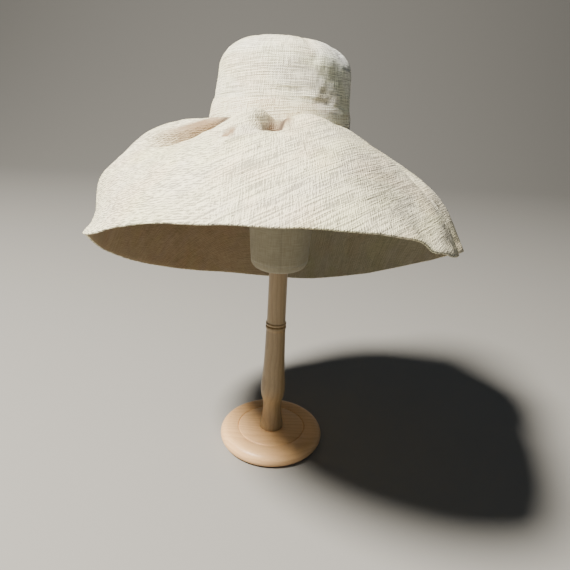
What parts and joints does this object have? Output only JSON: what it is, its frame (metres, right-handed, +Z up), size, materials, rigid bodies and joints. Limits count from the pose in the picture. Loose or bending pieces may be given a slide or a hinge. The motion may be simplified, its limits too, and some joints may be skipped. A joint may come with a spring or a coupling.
{
  "type": "wide-brim straw hat on a wooden hat stand",
  "caption": "Soft straw sun hat with a rounded bucket crown and a very wide drooping brim, pleated at the front of the crown, resting on a cloth-covered form on a turned wooden stand.",
  "frame": {"origin": "middle of the underside of the stand's base, on the post's axis", "axes": "+Z up along the post, -Y towards the front of the hat, +X to the viewer's right"},
  "size_m": [0.4779, 0.5001, 0.5885],
  "materials": {
    "straw": "matte woven straw",
    "form_cloth": "smooth woven cloth",
    "post_wood": "satin varnish",
    "base_wood": "satin varnish"
  },
  "bodies": {
    "root": {"crown": "straw", "crown_band": "straw", "brim": "straw", "form": "form_cloth", "post_upper": "post_wood", "post_lower": "post_wood", "base": "base_wood"}
  },
  "joints": []
}
